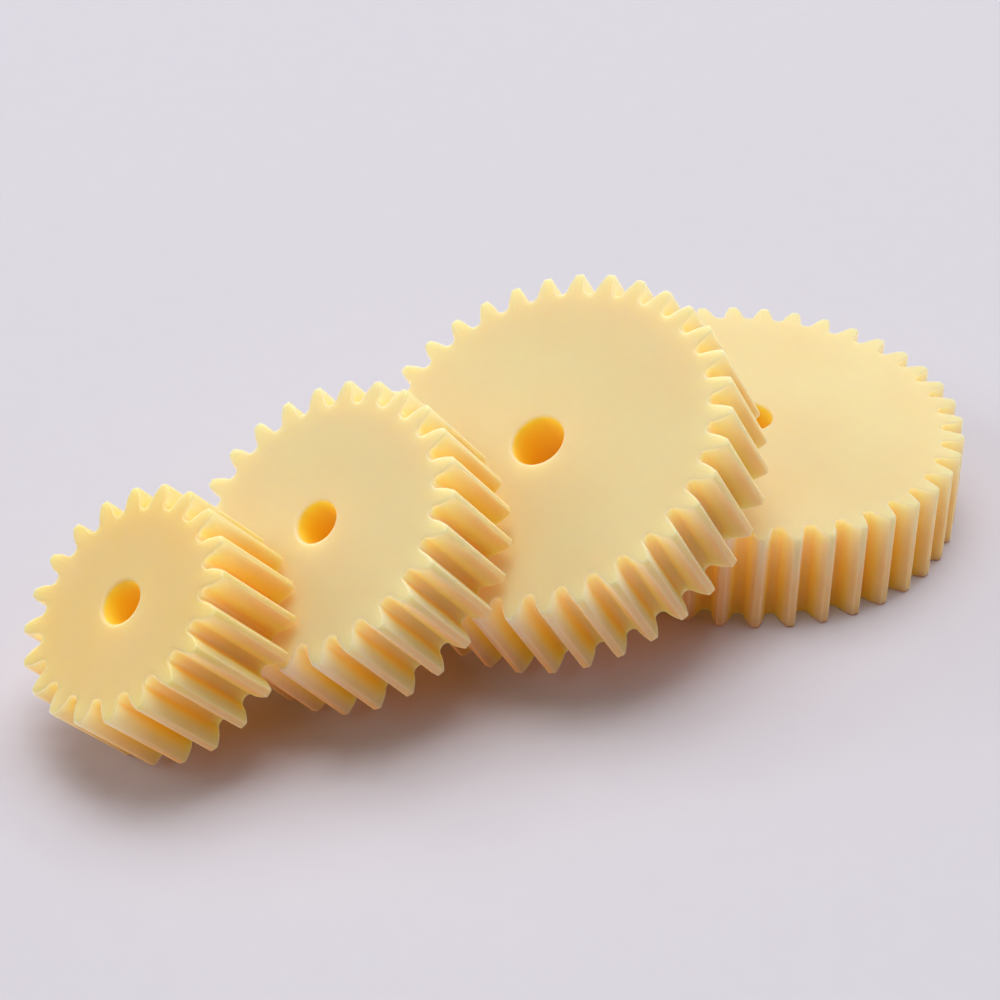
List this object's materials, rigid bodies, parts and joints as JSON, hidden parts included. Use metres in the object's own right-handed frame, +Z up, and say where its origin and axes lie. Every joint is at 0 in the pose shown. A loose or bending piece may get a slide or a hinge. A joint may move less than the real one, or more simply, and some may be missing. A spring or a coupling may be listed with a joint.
{
  "type": "spur gear set",
  "caption": "Loose set of plain nylon spur gears of one module and one face width, leaning in a row on the largest, which lies flat. Straight teeth, plain round bores, no hubs.",
  "frame": {"origin": "on the axis of the flat gear's bore, on the surface that the gears lie on", "axes": "+Z up, along the flat gear's bore; +X along the row towards the flat gear, as seen from the front; +Y away from the viewer"},
  "size_m": [0.0857, 0.0687, 0.0276],
  "materials": {
    "cast_nylon": "natural cream cast nylon, machined and tumbled, waxy and slightly translucent, with softly rounded edges"
  },
  "bodies": {
    "gear_40t": {"gear_40t": "cast_nylon"},
    "gear_35t": {"gear_35t": "cast_nylon"},
    "gear_26t": {"gear_26t": "cast_nylon"},
    "gear_20t": {"gear_20t": "cast_nylon"}
  },
  "joints": [
    {"name": "gear_20t_spin", "type": "hinge", "parent": "gear_40t", "child": "gear_20t", "pos_m": [-0.05289, -0.03567, 0.0109], "axis": [-0.548, -0.3655, 0.7524], "continuous": true},
    {"name": "gear_26t_spin", "type": "hinge", "parent": "gear_40t", "child": "gear_26t", "pos_m": [-0.0373, -0.02617, 0.01254], "axis": [-0.5009, -0.372, 0.7815], "continuous": true},
    {"name": "gear_35t_spin", "type": "hinge", "parent": "gear_40t", "child": "gear_35t", "pos_m": [-0.01857, -0.01554, 0.0138], "axis": [-0.4032, -0.3276, 0.8545], "continuous": true}
  ]
}
